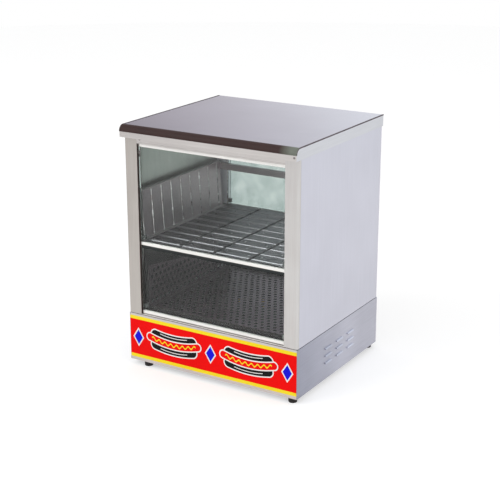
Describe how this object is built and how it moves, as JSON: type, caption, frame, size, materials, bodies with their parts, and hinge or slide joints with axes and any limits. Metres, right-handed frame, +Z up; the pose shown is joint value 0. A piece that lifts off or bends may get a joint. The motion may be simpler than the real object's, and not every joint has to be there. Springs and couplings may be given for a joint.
{
  "type": "hot dog steamer",
  "caption": "Countertop food steamer: louvred base with water pan, glazed cabinet with a bun shelf over a perforated sausage basket, and top-hung glass doors.",
  "frame": {"origin": "on the standing surface, below the middle of the part's whole width and depth", "axes": "+Z up, -Y is the front with the decal, +Y is the rear with the controls, +X is the right side seen from the front"},
  "size_m": [0.376, 0.3714, 0.4756],
  "materials": {
    "side_sheet": "satin",
    "frame_sheet": "satin",
    "cover_sheet": "satin",
    "inner_sheet": "satin",
    "pan_sheet": "satin",
    "dark_sheet": "satin",
    "decal_red": "gloss",
    "decal_yellow": "gloss",
    "foot_rubber": "matt",
    "screw_steel": "satin",
    "element_sheath": "oxidised",
    "brass": "satin",
    "white_moulding": "matt",
    "dial_enamel": "satin",
    "black_moulding": "matt",
    "knob_moulding": "gloss",
    "red_moulding": "gloss",
    "lamp_amber": "translucent",
    "nosing": "gloss",
    "nylon": "matt",
    "silicone": "matt",
    "tempered_glass": "clear",
    "bright_bar": "bright",
    "dark_bar": "satin"
  },
  "bodies": {
    "root": {"base_left_panel": "side_sheet", "base_right_panel": "side_sheet", "base_rear_panel": "side_sheet", "front_fascia": "frame_sheet", "decal_field": "decal_red", "decal_stripes": "decal_yellow", "bottom_plate": "side_sheet", "feet": "foot_rubber", "foot_screws": "screw_steel", "deck": "dark_sheet", "water_pan": "pan_sheet", "heating_element": "element_sheath", "element_nuts": "brass", "thermostat_body": "white_moulding", "dial_plate": "dial_enamel", "switch_housing": "black_moulding", "pilot_lamps": "lamp_amber", "cord_gland": "black_moulding", "drain_valve_body": "brass", "left_side_panel": "side_sheet", "right_side_panel": "side_sheet", "front_left_stile": "frame_sheet", "front_right_stile": "frame_sheet", "front_top_rail": "frame_sheet", "front_sill": "frame_sheet", "rear_left_stile": "frame_sheet", "rear_right_stile": "frame_sheet", "rear_top_rail": "frame_sheet", "rear_sill": "frame_sheet", "ceiling_panel": "inner_sheet", "top_cover": "cover_sheet", "cover_nosing": "nosing", "case_screws": "screw_steel", "pivot_bushes": "nylon", "door_stops": "silicone", "shelf_rails": "inner_sheet", "bun_shelf": "inner_sheet", "rack_left_wall": "inner_sheet", "rack_right_wall": "inner_sheet", "rack_rear_rail": "inner_sheet", "sausage_basket": "inner_sheet"},
    "front_upper_door": {"front_upper_glass": "tempered_glass", "front_upper_strip": "bright_bar", "front_upper_handle": "bright_bar", "front_door_pins_upper": "screw_steel"},
    "front_lower_door": {"front_lower_glass": "tempered_glass", "front_lower_strip": "dark_bar", "front_lower_handle": "bright_bar", "front_door_pins_lower": "screw_steel"},
    "rear_upper_door": {"rear_upper_glass": "tempered_glass", "rear_upper_strip": "bright_bar", "rear_upper_handle": "bright_bar", "rear_door_pins_upper": "screw_steel"},
    "rear_lower_door": {"rear_lower_glass": "tempered_glass", "rear_lower_strip": "dark_bar", "rear_lower_handle": "bright_bar", "rear_door_pins_lower": "screw_steel"},
    "knob": {"thermostat_knob": "knob_moulding"},
    "rocker": {"switch_rocker": "red_moulding"},
    "valve_lever": {"drain_lever": "red_moulding"}
  },
  "joints": [
    {"name": "front_upper_door_swing", "type": "hinge", "parent": "root", "child": "front_upper_door", "pos_m": [0, -0.16535, 0.4389], "axis": [-1, 0, 0], "range_deg": [0, 95]},
    {"name": "front_lower_door_swing", "type": "hinge", "parent": "root", "child": "front_lower_door", "pos_m": [0, -0.16535, 0.243], "axis": [-1, 0, 0], "range_deg": [0, 90]},
    {"name": "rear_upper_door_swing", "type": "hinge", "parent": "root", "child": "rear_upper_door", "pos_m": [0, 0.14465, 0.4389], "axis": [1, 0, 0], "range_deg": [0, 95]},
    {"name": "rear_lower_door_swing", "type": "hinge", "parent": "root", "child": "rear_lower_door", "pos_m": [0, 0.14465, 0.243], "axis": [1, 0, 0], "range_deg": [0, 90]},
    {"name": "thermostat_turn", "type": "hinge", "parent": "root", "child": "knob", "pos_m": [0.108, 0.15665, 0.062], "axis": [0, -1, 0], "range_deg": [0, 270]},
    {"name": "switch_tip", "type": "hinge", "parent": "root", "child": "rocker", "pos_m": [0.062, 0.14765, 0.062], "axis": [-1, 0, 0], "range_deg": [0, 18]},
    {"name": "drain_lever_turn", "type": "hinge", "parent": "root", "child": "valve_lever", "pos_m": [-0.104, 0.16365, 0.0711], "axis": [0, 0, 1], "range_deg": [0, 90]}
  ]
}
